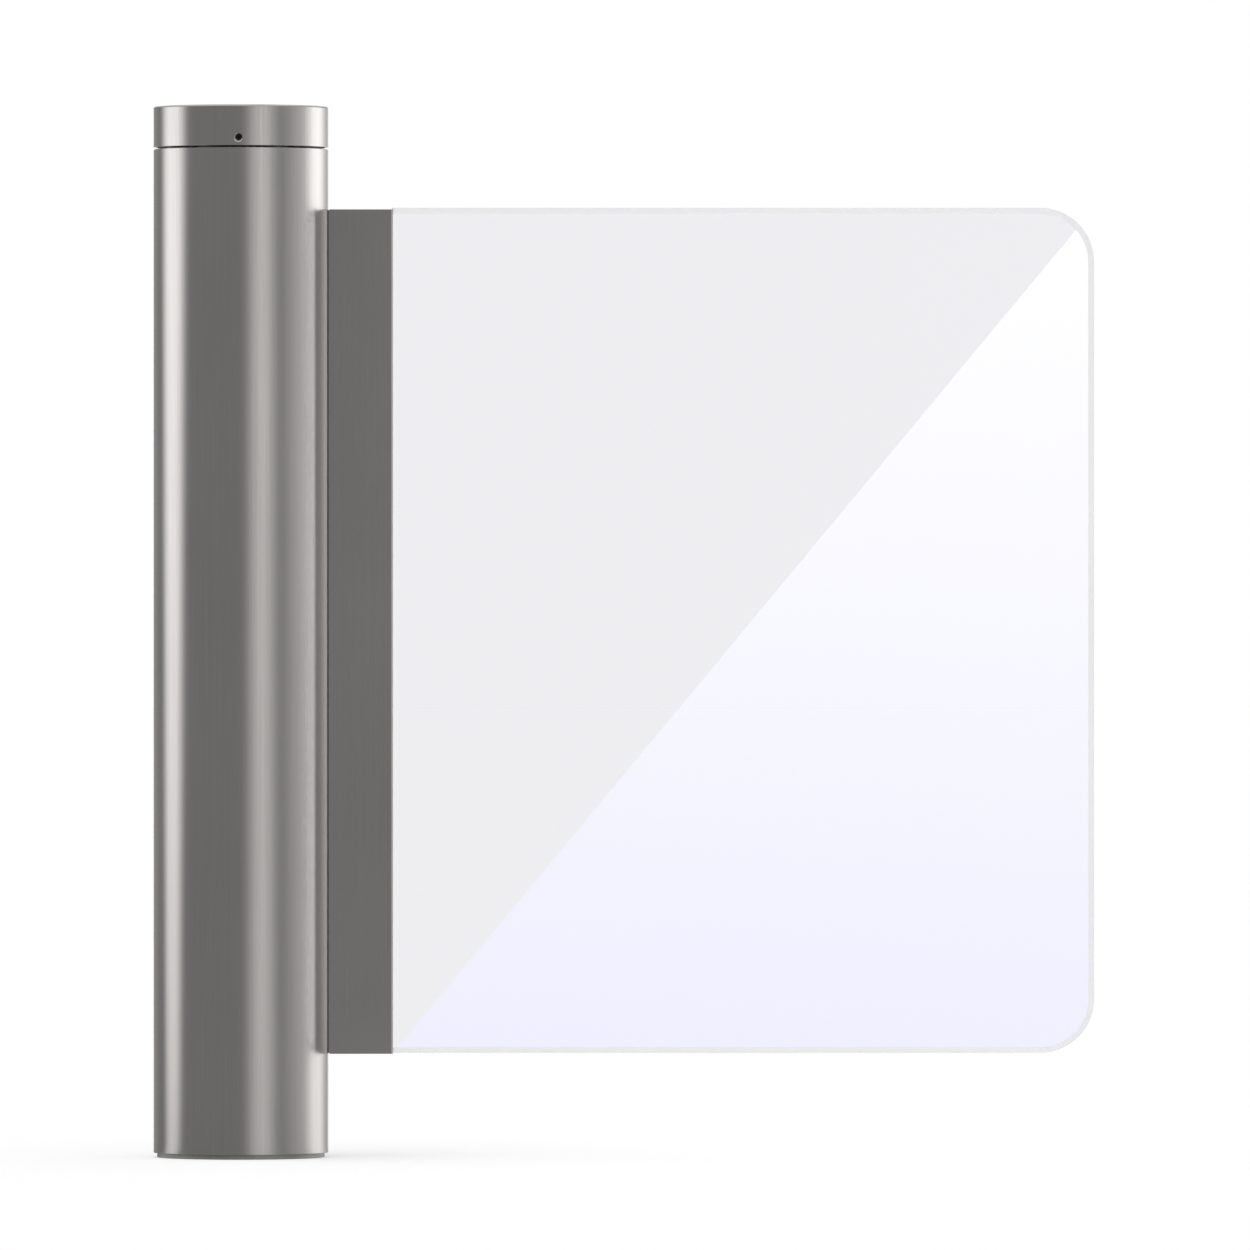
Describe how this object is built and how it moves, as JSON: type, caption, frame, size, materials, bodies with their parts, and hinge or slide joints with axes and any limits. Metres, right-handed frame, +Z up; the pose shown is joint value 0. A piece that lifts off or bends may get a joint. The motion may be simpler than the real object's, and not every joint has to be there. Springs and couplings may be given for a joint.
{
  "type": "swing barrier gate",
  "caption": "Waist-high access gate: a motor-driven round steel column with a turning sleeve that swings a clamped clear panel both ways.",
  "frame": {"origin": "on the column's axis, at the underside of the base flange", "axes": "+Z up along the column, +X along the closed wing, -Y towards the pictured face"},
  "size_m": [0.903, 0.168, 1.008],
  "materials": {
    "satin_steel": "satin",
    "base_steel": "satin",
    "inner_steel": "satin",
    "bearing_steel": "polished",
    "gear_steel": "satin",
    "black_steel": "matte",
    "motor_housing": "satin",
    "bronze": "satin",
    "polymer": "matte",
    "rubber": "matte",
    "board": "satin",
    "clear_acrylic": "gloss"
  },
  "bodies": {
    "column": {"base_flange": "base_steel", "post": "inner_steel", "bearing_collar": "inner_steel", "lower_deck": "inner_steel", "upper_deck": "inner_steel", "top_spigot": "inner_steel", "cap_carrier": "inner_steel", "deck_spacer_1": "inner_steel", "deck_spacer_2": "inner_steel", "deck_spacer_3": "inner_steel", "board_plate": "inner_steel", "bearing_inner_ring": "bearing_steel", "bearing_balls": "bearing_steel", "planet_pin_1": "bearing_steel", "planet_pin_2": "bearing_steel", "planet_pin_3": "bearing_steel", "stack_screw_1": "black_steel", "stack_screw_2": "black_steel", "stack_screw_3": "black_steel", "motor_screw_1": "black_steel", "motor_screw_2": "black_steel", "motor_screw_3": "black_steel", "cap_screw_1": "black_steel", "cap_screw_2": "black_steel", "cap_screw_3": "black_steel", "motor": "motor_housing", "brake": "motor_housing", "shaft_bush": "bronze", "stop_buffer_1": "rubber", "stop_buffer_2": "rubber", "cap": "satin_steel", "control_board": "board"},
    "wing": {"sleeve_tube": "satin_steel", "bracket_front_plate": "satin_steel", "bracket_rear_plate": "satin_steel", "bracket_spine": "satin_steel", "clamp_screw_1": "satin_steel", "clamp_screw_2": "satin_steel", "clamp_screw_3": "satin_steel", "clamp_screw_4": "satin_steel", "lower_hub": "inner_steel", "upper_hub": "inner_steel", "clamp_boss_1": "inner_steel", "clamp_boss_2": "inner_steel", "clamp_boss_3": "inner_steel", "clamp_boss_4": "inner_steel", "bearing_outer_ring": "bearing_steel", "stop_pin": "bearing_steel", "ring_gear": "gear_steel", "guide_bush": "polymer", "gasket_front": "rubber", "gasket_rear": "rubber", "panel": "clear_acrylic"},
    "rotor": {"motor_shaft": "bearing_steel", "sun_gear": "gear_steel"},
    "planet_1": {"planet_gear_1": "gear_steel"},
    "planet_2": {"planet_gear_2": "gear_steel"},
    "planet_3": {"planet_gear_3": "gear_steel"}
  },
  "joints": [
    {"name": "wing_swing", "type": "hinge", "parent": "column", "child": "wing", "pos_m": [0, 0, 0], "axis": [0, 0, 1], "range_deg": [-90, 90]},
    {"name": "rotor_spin", "type": "hinge", "parent": "column", "child": "rotor", "pos_m": [0, 0, 0.8466], "axis": [0, 0, 1], "range_deg": [-270, 270]},
    {"name": "planet_spin_1", "type": "hinge", "parent": "column", "child": "planet_1", "pos_m": [0.045, 0, 0.8466], "axis": [0, 0, 1], "range_deg": [-270, 270]},
    {"name": "planet_spin_2", "type": "hinge", "parent": "column", "child": "planet_2", "pos_m": [-0.0225, 0.03897, 0.8466], "axis": [0, 0, 1], "range_deg": [-270, 270]},
    {"name": "planet_spin_3", "type": "hinge", "parent": "column", "child": "planet_3", "pos_m": [-0.0225, -0.03897, 0.8466], "axis": [0, 0, 1], "range_deg": [-270, 270]}
  ],
  "couplings": [
    {"joint": "rotor_spin", "follows": "wing_swing", "ratio": -3},
    {"joint": "planet_spin_1", "follows": "wing_swing", "ratio": 3},
    {"joint": "planet_spin_2", "follows": "wing_swing", "ratio": 3},
    {"joint": "planet_spin_3", "follows": "wing_swing", "ratio": 3}
  ]
}
